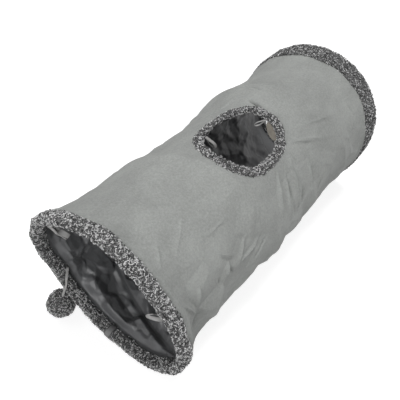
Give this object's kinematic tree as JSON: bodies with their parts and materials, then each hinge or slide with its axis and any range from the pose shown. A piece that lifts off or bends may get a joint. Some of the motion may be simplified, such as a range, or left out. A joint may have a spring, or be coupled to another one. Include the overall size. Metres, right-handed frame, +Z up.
{
  "type": "cat tunnel",
  "caption": "Collapsible cloth play tunnel for a cat, held open by a spring-steel spiral, with fleece rims, an oval peek hole on top and a fleece ball on a ribbon at one mouth.",
  "frame": {"origin": "on the floor, under the middle of the open tunnel, the hanging ball and its ribbon left out", "axes": "+Y along the tunnel from the near mouth, which has the ball, to the far one, +Z up, +X to the right as seen by one who looks into the near mouth"},
  "size_m": [0.2994, 0.6599, 0.2989],
  "materials": {
    "suede": "grey brushed suede-like polyester, matt",
    "lining": "charcoal crinkling polyester, slight sheen",
    "fleece": "curly fleece in black, grey and white",
    "ribbon": "grey woven ribbon",
    "tag": "beige felt, blank",
    "sleeve": "black woven casing, matt",
    "steel": "drawn spring steel",
    "crimp": "pressed ferrule, bare"
  },
  "bodies": {
    "near_end": {"near_fleece_band": "fleece", "near_hoop": "steel", "near_crimp": "crimp", "near_upper_loop": "ribbon", "near_side_loop": "ribbon", "tie_strap": "ribbon", "outer_cover": "suede", "inner_lining": "lining", "spring_coil": "steel", "coil_sleeve": "sleeve", "peek_hole_band": "fleece", "hole_near_loop": "ribbon", "hole_far_loop": "ribbon", "hole_tag": "tag"},
    "far_end": {"far_fleece_band": "fleece", "far_hoop": "steel", "far_crimp": "crimp"},
    "toy": {"ball_ribbon": "ribbon", "toy_ball": "fleece"}
  },
  "joints": [
    {"name": "tunnel_collapse", "type": "slide", "parent": "near_end", "child": "far_end", "axis": [0, -1, 0], "range_m": [0, 0.51], "stiffness_N_per_m": 20, "deforming": ["outer_cover", "inner_lining", "spring_coil", "coil_sleeve", "peek_hole_band", "hole_near_loop", "hole_far_loop", "hole_tag"]},
    {"name": "toy_swing", "type": "hinge", "parent": "near_end", "child": "toy", "pos_m": [-0.12155, -0.2916, 0.10009], "axis": [-1, 0, 0], "range_deg": [0, 110]}
  ]
}
